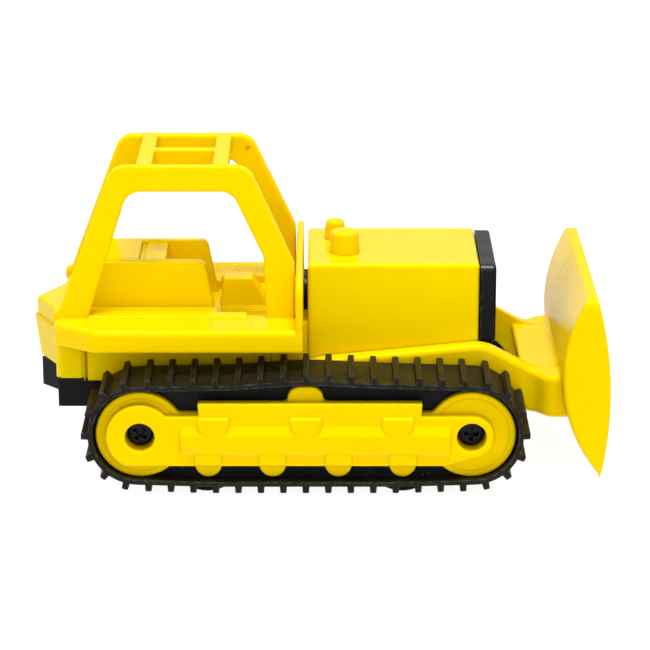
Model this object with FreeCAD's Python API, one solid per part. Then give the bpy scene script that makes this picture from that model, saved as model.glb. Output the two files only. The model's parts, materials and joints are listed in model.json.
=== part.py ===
"""Toy bulldozer: die-cast body, plastic cab frame, rubber tracks and a lifting blade.

Millimetres.  +X is forward, +Y is the machine's left, +Z is up.  The origin is on the
ground under the middle of the bounding box.  Every separate piece of the toy is written
to parts/NODE.step.
"""
import FreeCAD
import Part
import math
import os

Vector = FreeCAD.Vector

# ---------------------------------------------------------------- driving dimensions
FIT = 0.05                  # running clearance on a radius, and the gap of a seated part

# tracks
REAR_HUB_X = -35.5
FRONT_HUB_X = 30.8
HUB_Z = 13.3
TRACK_INSIDE_Y = 17.5
TRACK_OUTSIDE_Y = 31.0
BELT_THICKNESS = 0.95
LOOP_REAR_X = -44.9         # inner face of the belt at the back of the loop
LOOP_FRONT_X = 40.2
LOOP_END_RADIUS = 9.1
GROUSER_COUNT = 44
GROUSER_HEIGHT = 1.35
GROUSER_ROOT_WIDTH = 1.5
GROUSER_TIP_WIDTH = 1.25

# road wheels
WHEEL_RADIUS = 7.4
WHEEL_X = (-22.3, 17.1)     # rear axle, front axle
WHEEL_Y = (20.3, 26.0)
AXLE_RADIUS = 1.0
AXLE_END_Y = 25.7
ARCH_RADIUS = 8.0
ARCH_Y = (20.0, 26.3)       # room for a wheel between the two walls of a pod

# chassis
TUB_HALF_WIDTH = 13.8
TUB_WALL = 1.8
DECK_Z = 19.6               # top of the chassis deck
REAR_DECK_Z = 20.1
BELLY_TOP_Z = 6.3
BELLY_BOTTOM_Z = 3.7
TUB_REAR_X = -38.0
TUB_FRONT_X = 32.8
NOSE_FRONT_X = 35.6
POD_INSIDE_Y = 17.6
POD_FACE_Y = 27.3
POD_WALL = 1.5

# side frames of the tracks
DISC_RADIUS = 8.9
DISC_FACE_Y = 28.9
BEAM_FACE_Y = 30.9
RIB_FACE_Y = 31.7
BEAM_LOW_TOP_Z = 17.7
FRAME_BOTTOM_Z = 7.2
ROLLER_X = (-21.9, -9.0, 4.2, 17.1)
SHIELD_X = (-20.8, -2.3, 16.0)
DOME_X = -2.4

# screws
SCREW_HEAD_RADIUS = 2.65
SCREW_HEAD_HEIGHT = 1.8
SCREW_SHANK_RADIUS = 1.25
SCREW_HOLE_RADIUS = 1.5
SCREW_WELL_RADIUS = 2.95
SIDE_SEAT_Y = 26.4          # shoulder that a side screw's head rests on
BELLY_SCREW_X = (-32.0, 2.0, 27.0)
BODY_SCREW_PLACES = ((-44.0, 0.0), (-12.0, 0.0))
HOOD_SCREW_PLACES = ((10.0, 7.0), (22.0, -7.0))

# hood and grille
HOOD_REAR_X = -2.0
HOOD_FRONT_X = 32.8
HOOD_TOP_Z = 44.3
HOOD_WALL = 1.6
PRECLEANER_PLACE = (5.5, -4.6)
EXHAUST_PLACE = (3.6, 5.3)
CAP_STEM_RADIUS = 1.2
GRILLE_X = (33.0, 36.2)
GRILLE_Z = (27.6, 44.0)

# body shell
BODY_TOP_Z = 32.0
CONSOLE_TOP_Z = 43.4
CONSOLE_HALF_WIDTH = 8.9
CONSOLE_WALL = 2.1
CONSOLE_REAR_X = -47.0
REAR_FACE_X = -53.5
REAR_POINT_X = -58.8
SIDE_GROOVE_X = -47.2

# cab frame
FENDER_TOP_Z = 33.6
FENDER_BOTTOM_Z = 29.0
FENDER_HALF_WIDTH = 24.7
FENDER_WALL = 1.6
FENDER_REAR_X = -53.3
CAB_FRONT_X = -2.9
LEDGE_STEP_X = -20.3
LEDGE_FRONT_X = -14.3
LEDGE_FRONT_Y = 12.7
CAB_WALL = 1.5
CAB_WALL_TOP_Z = 43.25
ROOF_Z = 65.0
SIDE_PLATE = 2.2
SIDE_PLATE_BASE_Y = 16.2
SIDE_PLATE_TOP_Y = 13.9
ROOF_BAR_DEPTH = 3.2
ROOF_BAR_WIDTH = 3.1
ROOF_BAR_X = (-34.8, -19.5)
CAB_PEG_PLACES = ((-8.5, 11.4), (-40.0, 11.4))
CAB_PEG_RADIUS = 1.2

# blade and push frame
PIVOT_X = -4.0
PIVOT_Z = 17.0
PIVOT_RADIUS = 1.6
PIVOT_END_Y = 11.6
ARM_Y = (14.2, 17.1)
ARM_OUTSIDE_Y = 20.8        # where the arms widen in front of the tracks
ARM_TOP_Z = 22.7            # upper edge of the wide end
ARM_EDGE_RADIUS = 1.2
BLADE_HALF_WIDTH = 26.9
BLADE_PLATE = 2.0
BLADE_END_PLATE = 1.7
BLADE_Z = (3.2, 40.9)
BLADE_BACK_X = 49.1
BLADE_MIDDLE_Z = 24.5
BLADE_BACK_RADIUS = 31.7
BLADE_FRONT_X = 58.8        # foremost point of the end plates, at BLADE_FRONT_Z
BLADE_FRONT_Z = 19.0
BLADE_EDGE_RADIUS = 0.75


# ---------------------------------------------------------------- building blocks
def box(x, y, z):
    """Box between the low and high value of each axis."""
    return Part.makeBox(x[1] - x[0], y[1] - y[0], z[1] - z[0], Vector(x[0], y[0], z[0]))


def rod_x(y, z, radius, x):
    return Part.makeCylinder(radius, x[1] - x[0], Vector(x[0], y, z), Vector(1, 0, 0))


def rod_y(x, z, radius, y):
    return Part.makeCylinder(radius, y[1] - y[0], Vector(x, y[0], z), Vector(0, 1, 0))


def rod_z(x, y, radius, z):
    return Part.makeCylinder(radius, z[1] - z[0], Vector(x, y, z[0]), Vector(0, 0, 1))


def rounded_wire(corners, place):
    """Closed outline through (a, b, radius) corners; place(a, b) puts a point in space."""
    arcs = []
    for index, (a, b, radius) in enumerate(corners):
        here = Vector(a, b, 0)
        before = corners[index - 1]
        after = corners[(index + 1) % len(corners)]
        back = (Vector(before[0], before[1], 0) - here).normalize()
        ahead = (Vector(after[0], after[1], 0) - here).normalize()
        half_angle = back.getAngle(ahead) / 2
        reach = radius / math.tan(half_angle)
        inward = (back + ahead).normalize()
        middle = here + inward * (radius / math.sin(half_angle) - radius)
        arcs.append((here + back * reach, middle, here + ahead * reach))
    edges = []
    for index, (start, middle, end) in enumerate(arcs):
        if (start - end).Length > 1e-6:
            bend = Part.Arc(place(start.x, start.y), place(middle.x, middle.y), place(end.x, end.y))
            edges.append(bend.toShape())
        following = arcs[(index + 1) % len(arcs)][0]
        if (following - end).Length > 1e-6:
            line = Part.LineSegment(place(end.x, end.y), place(following.x, following.y))
            edges.append(line.toShape())
    return Part.Wire(edges)


def prism_x(corners, x):
    """Outline in Y and Z, drawn out along X."""
    wire = rounded_wire(corners, lambda a, b: Vector(x[0], a, b))
    return Part.Face(wire).extrude(Vector(x[1] - x[0], 0, 0))


def prism_y(corners, y):
    """Outline in X and Z, drawn out along Y."""
    wire = rounded_wire(corners, lambda a, b: Vector(a, y[0], b))
    return Part.Face(wire).extrude(Vector(0, y[1] - y[0], 0))


def prism_z(corners, z):
    """Outline in X and Y, drawn out along Z."""
    wire = rounded_wire(corners, lambda a, b: Vector(a, b, z[0]))
    return Part.Face(wire).extrude(Vector(0, 0, z[1] - z[0]))


def mirrored(shape):
    """The same shape on the other side of the machine."""
    return shape.mirror(Vector(0, 0, 0), Vector(0, 1, 0))


def both_sides(shape):
    return [shape, mirrored(shape)]


def joined(shapes):
    """One solid from touching or overlapping shapes."""
    return shapes[0].fuse(shapes[1:]).removeSplitter()


def rounded_edges(shape, radius, wanted):
    """Fillet every edge for which wanted(edge) is true."""
    return shape.makeFillet(radius, [edge for edge in shape.Edges if wanted(edge)])


def lies_at(axis, value):
    """Edge test: the whole edge lies in one plane across the axis."""
    def test(edge):
        bounds = edge.BoundBox
        low = getattr(bounds, axis + "Min")
        high = getattr(bounds, axis + "Max")
        return abs(low - value) < 1e-4 and abs(high - value) < 1e-4
    return test


def runs_along(axis):
    """Edge test: a straight edge parallel to the axis."""
    def test(edge):
        if edge.Curve.TypeId != "Part::GeomLine":
            return False
        return abs(getattr(edge.Curve.Direction, axis.lower())) > 0.999
    return test


def write(node, shape):
    """Check one finished piece and write it to its own STEP file."""
    solids = shape.Solids
    if not solids or not all(solid.isValid() for solid in solids):
        raise ValueError(node + " is not made of valid solids")
    result = solids[0] if len(solids) == 1 else Part.makeCompound(solids)
    result.exportStep(os.path.join("parts", node + ".step"))
    print(node, len(solids), round(shape.Volume, 1))


# ---------------------------------------------------------------- tracks
def loop_corners():
    """Inner outline of the rubber belt: a long loop that humps over the top roller."""
    flat = 200.0
    return [
        (LOOP_REAR_X, 4.6, LOOP_END_RADIUS),
        (LOOP_REAR_X, 22.9, LOOP_END_RADIUS),
        (-17.0, 23.4, 60.0),
        (DOME_X, 24.5, 60.0),
        (12.0, 23.8, flat),
        (LOOP_FRONT_X, 22.9, LOOP_END_RADIUS),
        (LOOP_FRONT_X, 4.6, LOOP_END_RADIUS),
        (WHEEL_X[1], 3.9, flat),
        (WHEEL_X[0], 3.9, flat),
    ]


def loop_wire(y):
    return rounded_wire(loop_corners(), lambda a, b: Vector(a, y, b))


def grouser():
    """One cross bar of the tread, standing on z = 0 and running along Y."""
    root = GROUSER_ROOT_WIDTH / 2
    tip = GROUSER_TIP_WIDTH / 2
    sunk = 0.3
    corners = [(-root, -sunk, 0), (-tip, GROUSER_HEIGHT, 0.3), (tip, GROUSER_HEIGHT, 0.3), (root, -sunk, 0)]
    return prism_y(corners, (TRACK_INSIDE_Y, TRACK_OUTSIDE_Y))


def rubber_track():
    """Left belt: a band with cross bars and a window under each road wheel."""
    inner = loop_wire(TRACK_INSIDE_Y)
    outer = inner.makeOffset2D(BELT_THICKNESS)
    width = Vector(0, TRACK_OUTSIDE_Y - TRACK_INSIDE_Y, 0)
    band = Part.Face(outer).extrude(width).cut(Part.Face(inner).extrude(width))
    steps_per_bar = 8
    path = outer.discretize(Number=GROUSER_COUNT * steps_per_bar + 1)[:-1]
    bars = []
    for index in range(steps_per_bar // 2, len(path), steps_per_bar):
        along = path[(index + 1) % len(path)] - path[index - 1]
        outward = Vector(along.z, 0, -along.x).normalize()
        middle = Vector((LOOP_REAR_X + LOOP_FRONT_X) / 2, TRACK_INSIDE_Y, HUB_Z)
        if outward.dot(path[index] - middle) < 0:
            outward = outward * -1
        bar = grouser()
        bar.rotate(Vector(0, 0, 0), Vector(0, 1, 0), math.degrees(math.atan2(outward.x, outward.z)))
        bar.translate(Vector(path[index].x, 0, path[index].z))
        bars.append(bar)
    belt = band.fuse(bars).removeSplitter()
    windows = [wheel_window(x) for x in WHEEL_X]
    return belt.cut(windows)


def wheel_window(x):
    """Opening in the lower run that lets a road wheel reach the ground."""
    half_length = 7.0
    return box((x - half_length, x + half_length), (WHEEL_Y[0] - 0.5, WHEEL_Y[1] + 0.5), (0.0, 6.0))


# ---------------------------------------------------------------- side frames
def rounded_layer(corners, y_back, y_front, edge_radius):
    """Flat layer of a side frame with a softened outer rim."""
    layer = prism_y(corners, (y_back, y_front))
    return rounded_edges(layer, edge_radius, lies_at("Y", y_front))


def disc_layer(x, z, radius, edge_radius):
    """Disc on the lower level of a side frame, with a softened rim."""
    layer = rod_y(x, z, radius, (POD_FACE_Y, DISC_FACE_Y))
    return rounded_edges(layer, edge_radius, lies_at("Y", DISC_FACE_Y))


def track_frame():
    """Left side frame: end discs, beam, rib, roller and shield shapes in one moulding."""
    waist_top = 17.9
    waist = box((REAR_HUB_X, FRONT_HUB_X), (POD_FACE_Y, DISC_FACE_Y), (FRAME_BOTTOM_Z, waist_top))
    back = [waist, top_dome()]
    for hub_x, side in ((REAR_HUB_X, 1), (FRONT_HUB_X, -1)):
        back.append(disc_layer(hub_x, HUB_Z, DISC_RADIUS, 0.3))
        back.append(waist_fillet(hub_x, side, waist_top))
    back += [disc_layer(x, 7.0, 2.7, 0.3) for x in ROLLER_X]
    back_plate = joined(back).cut([disc_groove(REAR_HUB_X), disc_groove(FRONT_HUB_X)])
    raised = [beam(), rear_hub(), front_arm(), rib()] + shields() + roller_caps() + screw_bosses()
    frame = joined([back_plate] + raised).cut(screw_seats()).removeSplitter()

    def hole_lip(edge):
        return lies_at("Y", BEAM_FACE_Y)(edge) and abs(edge.BoundBox.XLength - 2 * SCREW_WELL_RADIUS) < 0.01
    return rounded_edges(frame, 0.45, hole_lip)


def top_dome():
    """Shape of the carrier roller on top of the beam, flared where it meets the beam."""
    half_width = 3.65
    corners = [
        (DOME_X - half_width - 1.5, 17.0, 0),
        (DOME_X - half_width - 1.5, 19.9, 0),
        (DOME_X - half_width, 20.4, 0.8),
        (DOME_X - half_width + 0.5, 23.4, 2.6),
        (DOME_X + half_width - 0.5, 23.4, 2.6),
        (DOME_X + half_width, 20.4, 0.8),
        (DOME_X + half_width + 1.5, 19.9, 0),
        (DOME_X + half_width + 1.5, 17.0, 0),
    ]
    return rounded_layer(corners, POD_FACE_Y, DISC_FACE_Y, 0.25)


def waist_fillet(hub_x, side, waist_top):
    """Concave corner between an end disc and the bar that joins the two discs."""
    reach = DISC_RADIUS + 1.2
    touch = math.sqrt(DISC_RADIUS ** 2 - (waist_top - HUB_Z) ** 2)
    corners = [
        (hub_x + side * 4.0, HUB_Z, 0),
        (hub_x + side * (touch - 1.3), HUB_Z + math.sqrt(DISC_RADIUS ** 2 - (touch - 1.3) ** 2), 0),
        (hub_x + side * (touch + 0.2), waist_top, 1.6),
        (hub_x + side * reach, waist_top, 0),
    ]
    return prism_y(corners, (POD_FACE_Y, DISC_FACE_Y))


def disc_groove(hub_x):
    """Fine ring cut into the face of an end disc."""
    outer = rod_y(hub_x, HUB_Z, 7.75, (DISC_FACE_Y - 0.12, DISC_FACE_Y + 0.1))
    return outer.cut(rod_y(hub_x, HUB_Z, 7.6, (DISC_FACE_Y - 0.12, DISC_FACE_Y + 0.1)))


def beam():
    """Raised main beam with its higher middle stretch, which stands clear of the chassis."""
    upper_top = 20.5
    corners = [
        (REAR_HUB_X, FRAME_BOTTOM_Z, 0),
        (REAR_HUB_X, BEAM_LOW_TOP_Z, 0),
        (-23.7, BEAM_LOW_TOP_Z, 0.4),
        (-23.9, upper_top, 0.4),
        (20.9, upper_top, 0.4),
        (20.7, BEAM_LOW_TOP_Z, 0.4),
        (24.0, BEAM_LOW_TOP_Z, 0),
        (26.0, FRAME_BOTTOM_Z, 0),
    ]
    layer = rounded_layer(corners, POD_FACE_Y, BEAM_FACE_Y, 0.5)
    behind = box((-30, 27), (POD_FACE_Y - 1, DISC_FACE_Y - 0.2), (BEAM_LOW_TOP_Z, upper_top + 1))
    return layer.cut(behind)


def rear_hub():
    """Round raised hub at the back, cut flat level with the beam's lower edge."""
    hub = rod_y(REAR_HUB_X, HUB_Z, 6.8, (POD_FACE_Y, BEAM_FACE_Y))
    low = box((REAR_HUB_X - 9, REAR_HUB_X + 9), (POD_FACE_Y, BEAM_FACE_Y), (0, FRAME_BOTTOM_Z))
    return rounded_edges(hub.cut(low), 0.5, lies_at("Y", BEAM_FACE_Y))


def front_arm():
    """Tapering arm that carries the front screw."""
    end_x = FRONT_HUB_X + 4.4
    corners = [
        (19.0, FRAME_BOTTOM_Z, 0),
        (19.0, BEAM_LOW_TOP_Z, 0),
        (end_x, BEAM_LOW_TOP_Z, 4.2),
        (end_x, 10.2, 3.8),
        (25.6, FRAME_BOTTOM_Z, 2.0),
    ]
    return rounded_layer(corners, POD_FACE_Y, BEAM_FACE_Y, 0.5)


def rib():
    """Proud rib along the beam, sloped above and below."""
    section = [
        (BEAM_FACE_Y - 0.5, 9.6, 0),
        (BEAM_FACE_Y, 9.6, 0),
        (RIB_FACE_Y, 10.7, 1.2),
        (RIB_FACE_Y, 13.9, 1.2),
        (BEAM_FACE_Y, 15.8, 0),
        (BEAM_FACE_Y - 0.5, 15.8, 0),
    ]
    ends = (-27.4, 26.6)
    bar = prism_x(section, ends)

    def outer_end(edge):
        at_end = lies_at("X", ends[0])(edge) or lies_at("X", ends[1])(edge)
        return at_end and edge.BoundBox.YMin > BEAM_FACE_Y - 0.01
    return rounded_edges(bar, 0.5, outer_end)


def shields():
    """Shield-shaped pads above the rib: flat top, half-round bottom."""
    pads = []
    for x in SHIELD_X:
        corners = [(x - 3.2, 17.7, 0.65), (x + 3.2, 17.7, 0.65), (x + 3.1, 13.4, 2.8), (x - 3.1, 13.4, 2.8)]
        pads.append(rounded_layer(corners, BEAM_FACE_Y - 0.5, RIB_FACE_Y - 0.02, 0.6))
    return pads


def roller_caps():
    """Round-topped pads below the rib, one over each lower roller."""
    pads = []
    for x in ROLLER_X:
        corners = [
            (x - 2.7, FRAME_BOTTOM_Z + 0.4, 0),
            (x - 2.7, 11.6, 2.2),
            (x + 2.7, 11.6, 2.2),
            (x + 2.7, FRAME_BOTTOM_Z + 0.4, 0),
        ]
        pads.append(rounded_layer(corners, BEAM_FACE_Y - 0.5, RIB_FACE_Y - 0.3, 0.4))
    return pads


def screw_bosses():
    """Hollow bosses behind the frame that drop into the chassis pods."""
    depth = (SIDE_SEAT_Y - 1.6, POD_FACE_Y + 0.5)
    return [rod_y(x, HUB_Z, 4.3, depth) for x in (REAR_HUB_X, FRONT_HUB_X)]


def screw_seats():
    """Counterbore and clearance hole for each side screw."""
    cuts = []
    for x in (REAR_HUB_X, FRONT_HUB_X):
        cuts.append(rod_y(x, HUB_Z, SCREW_WELL_RADIUS, (SIDE_SEAT_Y, RIB_FACE_Y + 1)))
        cuts.append(rod_y(x, HUB_Z, SCREW_HOLE_RADIUS, (SIDE_SEAT_Y - 3, SIDE_SEAT_Y + 1)))
    return cuts


# ---------------------------------------------------------------- screws
def cross_screw(shank_length):
    """Pan-head screw standing on z = 0, its shank along -Z, with a cross recess."""
    head = rod_z(0, 0, SCREW_HEAD_RADIUS, (0, SCREW_HEAD_HEIGHT))
    head = rounded_edges(head, 0.6, lies_at("Z", SCREW_HEAD_HEIGHT))
    shank = rod_z(0, 0, SCREW_SHANK_RADIUS, (-shank_length, 0.1))
    shank = shank.makeChamfer(0.5, [edge for edge in shank.Edges if lies_at("Z", -shank_length)(edge)])
    slot_depth = (SCREW_HEAD_HEIGHT - 1.2, SCREW_HEAD_HEIGHT + 1)
    slot_length = 1.6
    slot_width = 0.5
    recess = [
        box((-slot_length, slot_length), (-slot_width, slot_width), slot_depth),
        box((-slot_width, slot_width), (-slot_length, slot_length), slot_depth),
    ]
    return joined([head, shank]).cut(recess)


def side_screws():
    """The two screws of the left side frame, heads outward."""
    screws = []
    for x, turn in ((REAR_HUB_X, 40), (FRONT_HUB_X, 5)):
        screw = cross_screw(7.0)
        screw.rotate(Vector(0, 0, 0), Vector(0, 0, 1), turn)
        screw.rotate(Vector(0, 0, 0), Vector(1, 0, 0), -90)
        screw.translate(Vector(x, SIDE_SEAT_Y, HUB_Z))
        screws.append(screw)
    return Part.makeCompound(screws)


def upward_screws(places, seat_z, shank_length):
    """Screws put in from below, heads down."""
    screws = []
    for x, y in places:
        screw = cross_screw(shank_length)
        screw.rotate(Vector(0, 0, 0), Vector(1, 0, 0), 180)
        screw.translate(Vector(x, y, seat_z))
        screws.append(screw)
    return Part.makeCompound(screws)


# ---------------------------------------------------------------- chassis
def pod():
    """Left pod: a hollow box shaped like the belt loop, with wheel arches and bosses."""
    whole = Part.Face(loop_wire(POD_INSIDE_Y)).extrude(Vector(0, POD_FACE_Y - POD_INSIDE_Y, 0))
    hollow_wire = loop_wire(POD_INSIDE_Y).makeOffset2D(-POD_WALL)
    hollow = Part.Face(hollow_wire).extrude(Vector(0, POD_FACE_Y - POD_WALL - POD_INSIDE_Y, 0))
    shell = whole.cut(hollow)
    fillers = []
    for x in (REAR_HUB_X, FRONT_HUB_X):
        fillers.append(rod_y(x, HUB_Z, 5.8, (POD_INSIDE_Y, POD_FACE_Y)))
    for x in WHEEL_X:
        fillers.append(rod_y(x, WHEEL_RADIUS, ARCH_RADIUS + 1.2, (POD_INSIDE_Y, POD_FACE_Y)).common(whole))
    shell = joined([shell] + fillers)
    cuts = []
    for x in (REAR_HUB_X, FRONT_HUB_X):
        cuts.append(rod_y(x, HUB_Z, 4.4, (SIDE_SEAT_Y - 1.6, POD_FACE_Y + 1)))
        cuts.append(rod_y(x, HUB_Z, SCREW_SHANK_RADIUS, (SIDE_SEAT_Y - 8, SIDE_SEAT_Y)))
    for x in WHEEL_X:
        cuts.append(rod_y(x, WHEEL_RADIUS, ARCH_RADIUS, ARCH_Y))
        cuts.append(box((x - ARCH_RADIUS, x + ARCH_RADIUS), ARCH_Y, (0, WHEEL_RADIUS)))
    return shell.cut(cuts)


def axle_slot(x):
    """Downward-open slot across the whole chassis for one axle."""
    radius = AXLE_RADIUS + FIT
    across = (-ARCH_Y[1], ARCH_Y[1])
    top = rod_y(x, WHEEL_RADIUS, radius, across)
    below = box((x - radius, x + radius), across, (0, WHEEL_RADIUS))
    return top.fuse(below)


def tub():
    """Central tub, open below, with the rear overhang and the nose under the grille."""
    half = TUB_HALF_WIDTH
    inner = half - TUB_WALL
    rear_x = -53.1
    deep = box((TUB_REAR_X, TUB_FRONT_X), (-half, half), (BELLY_TOP_Z + FIT, DECK_Z))
    inside_x = (TUB_REAR_X + TUB_WALL, TUB_FRONT_X - TUB_WALL)
    deep = deep.cut(box(inside_x, (-inner, inner), (0, DECK_Z - TUB_WALL)))
    overhang_z = 14.0
    overhang = box((rear_x, TUB_REAR_X), (-half, half), (overhang_z, DECK_Z))
    overhang = overhang.cut(
        box((rear_x + TUB_WALL, TUB_REAR_X - TUB_WALL), (-inner, inner), (overhang_z - 1, DECK_Z - TUB_WALL)))
    rear_step = box((rear_x, SIDE_GROOVE_X - 0.5), (-half, half), (DECK_Z - 0.5, REAR_DECK_Z))
    nose_y = (-half + 0.2, half - 0.2)
    nose = box((TUB_FRONT_X, NOSE_FRONT_X), nose_y, (BELLY_TOP_Z + FIT, DECK_Z))
    nose_top = box((TUB_FRONT_X + 0.15, NOSE_FRONT_X), nose_y, (DECK_Z - 1, GRILLE_Z[0] - 0.15))
    hitch = prism_z([(rear_x + 1, -6.0, 0), (rear_x, -5.0, 0), (-57.9, 0, 0.8), (rear_x, 5.0, 0),
                     (rear_x + 1, 6.0, 0)], (14.2, REAR_DECK_Z))
    return joined([deep, overhang, rear_step, nose, nose_top, hitch, tongue()])


def tongue():
    """Upright tab that locates the hood against the cab's front wall."""
    half = 5.0
    corners = [(-half, DECK_Z - 1, 0), (-half, 38.6, 3.5), (half, 38.6, 3.5), (half, DECK_Z - 1, 0)]
    return prism_x(corners, (CAB_FRONT_X + 0.1, HOOD_REAR_X - 0.1))


def chassis_base():
    """Black lower body: tub, two pods, the webs between them and every boss."""
    solids = [tub()]
    solids += both_sides(pod())
    web = box((-33.0, 28.0), (TUB_HALF_WIDTH - TUB_WALL, POD_INSIDE_Y + POD_WALL), (10.0, 12.2))
    solids += both_sides(web)
    pivot_boss = rod_y(PIVOT_X, PIVOT_Z, 3.4, (PIVOT_END_Y - 1.6, TUB_HALF_WIDTH))
    lower = box((-60, 60), (-20, 20), (0, DECK_Z))
    solids += both_sides(pivot_boss.common(lower))
    for x in BELLY_SCREW_X:
        solids.append(rod_z(x, 0, 3.0, (BELLY_TOP_Z + FIT, DECK_Z - 0.5)))
    base = joined(solids)
    cuts = [axle_slot(x) for x in WHEEL_X]
    cuts += both_sides(rod_y(PIVOT_X, PIVOT_Z, PIVOT_RADIUS + FIT, (PIVOT_END_Y - 0.2, TUB_HALF_WIDTH + 1)))
    for x in BELLY_SCREW_X:
        cuts.append(rod_z(x, 0, SCREW_SHANK_RADIUS, (0, 15.2)))
    for x, y in BODY_SCREW_PLACES + HOOD_SCREW_PLACES:
        cuts.append(rod_z(x, y, SCREW_HOLE_RADIUS, (DECK_Z - 3, DECK_Z + 3)))
    return base.cut(cuts).removeSplitter()


def belly_plate():
    """Bottom cover that traps both axles."""
    plate = box((TUB_REAR_X, NOSE_FRONT_X), (-TUB_HALF_WIDTH, TUB_HALF_WIDTH), (BELLY_BOTTOM_Z, BELLY_TOP_Z))
    plate = rounded_edges(plate, 1.2, lies_at("Z", BELLY_BOTTOM_Z))
    cuts = []
    for x in BELLY_SCREW_X:
        cuts.append(rod_z(x, 0, 3.0, (0, BELLY_BOTTOM_Z + 1.5)))
        cuts.append(rod_z(x, 0, SCREW_HOLE_RADIUS, (0, BELLY_TOP_Z + 1)))
    return plate.cut(cuts)


# ---------------------------------------------------------------- wheels
def axle(x):
    pin = rod_y(x, WHEEL_RADIUS, AXLE_RADIUS, (-AXLE_END_Y, AXLE_END_Y))
    ends = [edge for edge in pin.Edges if abs(abs(edge.CenterOfMass.y) - AXLE_END_Y) < 1e-3]
    return pin.makeChamfer(0.15, ends)


def road_wheel(x):
    """Left wheel pressed on its axle: tread, recessed web and hub."""
    wheel = rod_y(x, WHEEL_RADIUS, WHEEL_RADIUS, WHEEL_Y)
    wheel = rounded_edges(wheel, 0.6, lambda edge: edge.Length > 40 and not runs_along("Y")(edge))
    dish_depth = 0.9
    dish = rod_y(x, WHEEL_RADIUS, 5.6, (WHEEL_Y[1] - dish_depth, WHEEL_Y[1] + 1))
    dish = dish.cut(rod_y(x, WHEEL_RADIUS, 2.2, (WHEEL_Y[1] - dish_depth, WHEEL_Y[1] + 1)))
    back_dish = rod_y(x, WHEEL_RADIUS, 5.9, (WHEEL_Y[0] - 1, WHEEL_Y[1] - 2.4))
    back_dish = back_dish.cut(rod_y(x, WHEEL_RADIUS, 2.2, (WHEEL_Y[0] - 1, WHEEL_Y[1] - 2.4)))
    return wheel.cut([dish, back_dish, rod_y(x, WHEEL_RADIUS, AXLE_RADIUS, WHEEL_Y)])


# ---------------------------------------------------------------- hood, grille, caps
def screw_post(x, y, top_z):
    """Post with a pilot hole that takes a screw from below."""
    post = rod_z(x, y, 2.8, (DECK_Z, top_z))
    return post.cut(rod_z(x, y, SCREW_SHANK_RADIUS, (DECK_Z - 1, DECK_Z + 7.5)))


def hood():
    """Die-cast engine cover, open below."""
    half = TUB_HALF_WIDTH
    draft = 0.25
    corners = [
        (-half, DECK_Z, 0),
        (-half + draft, HOOD_TOP_Z, 0),
        (half - draft, HOOD_TOP_Z, 0),
        (half, DECK_Z, 0),
    ]
    cover = prism_x(corners, (HOOD_REAR_X, HOOD_FRONT_X))
    cover = rounded_edges(cover, 0.8, lambda edge: edge.BoundBox.ZMax > HOOD_TOP_Z - 0.01)
    inner_half = half - HOOD_WALL
    inside = box((HOOD_REAR_X + HOOD_WALL, HOOD_FRONT_X - HOOD_WALL), (-inner_half, inner_half),
                 (DECK_Z - 1, HOOD_TOP_Z - HOOD_WALL))
    cover = cover.cut(inside)
    posts = [screw_post(x, y, HOOD_TOP_Z - HOOD_WALL + 0.2) for x, y in HOOD_SCREW_PLACES]
    cover = joined([cover] + posts)
    cuts = []
    for x, y in (PRECLEANER_PLACE, EXHAUST_PLACE):
        cuts.append(rod_z(x, y, CAP_STEM_RADIUS, (HOOD_TOP_Z - HOOD_WALL - 1, HOOD_TOP_Z + 1)))
    for y in (-8.0, 8.0):
        cuts.append(rod_x(y, 36.0, CAP_STEM_RADIUS, (HOOD_FRONT_X - HOOD_WALL - 1, HOOD_FRONT_X + 1)))
    return cover.cut(cuts)


def cap(place, radius, height, dimple_radius):
    """Push-in cap on the hood: tapered body, rounded rim, dimpled top and a stem."""
    x, y = place
    taper = 0.25
    body = Part.makeCone(radius, radius - taper, height, Vector(x, y, HOOD_TOP_Z), Vector(0, 0, 1))
    body = rounded_edges(body, 0.7, lies_at("Z", HOOD_TOP_Z + height))
    stem = rod_z(x, y, CAP_STEM_RADIUS, (HOOD_TOP_Z - HOOD_WALL, HOOD_TOP_Z + 0.5))
    ball_radius = dimple_radius * 2.4
    drop = math.sqrt(ball_radius ** 2 - dimple_radius ** 2)
    ball = Part.makeSphere(ball_radius, Vector(x, y, HOOD_TOP_Z + height + drop))
    return joined([body, stem]).cut(ball)


def radiator_grille():
    """Black plate on the front of the hood with a rim and level slats."""
    half = TUB_HALF_WIDTH
    low, high = GRILLE_Z
    corners = [(-half, low, 1.2), (-half, high, 1.6), (half, high, 1.6), (half, low, 1.2)]
    plate = prism_x(corners, GRILLE_X)
    plate = rounded_edges(plate, 0.7, lies_at("X", GRILLE_X[1]))
    slot_count = 6
    rim = 1.8
    pitch = (high - low - 2 * rim) / slot_count
    gaps = []
    for index in range(slot_count):
        bottom = low + rim + index * pitch + 0.35
        gap_x = (GRILLE_X[1] - 1.3, GRILLE_X[1] + 1)
        gaps.append(box(gap_x, (-half + rim, half - rim), (bottom, bottom + pitch - 0.9)))
    peg_x = (HOOD_FRONT_X - HOOD_WALL, GRILLE_X[0] + 0.5)
    pegs = [rod_x(y, 36.0, CAP_STEM_RADIUS, peg_x) for y in (-8.0, 8.0)]
    return joined([plate] + pegs).cut(gaps)


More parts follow.
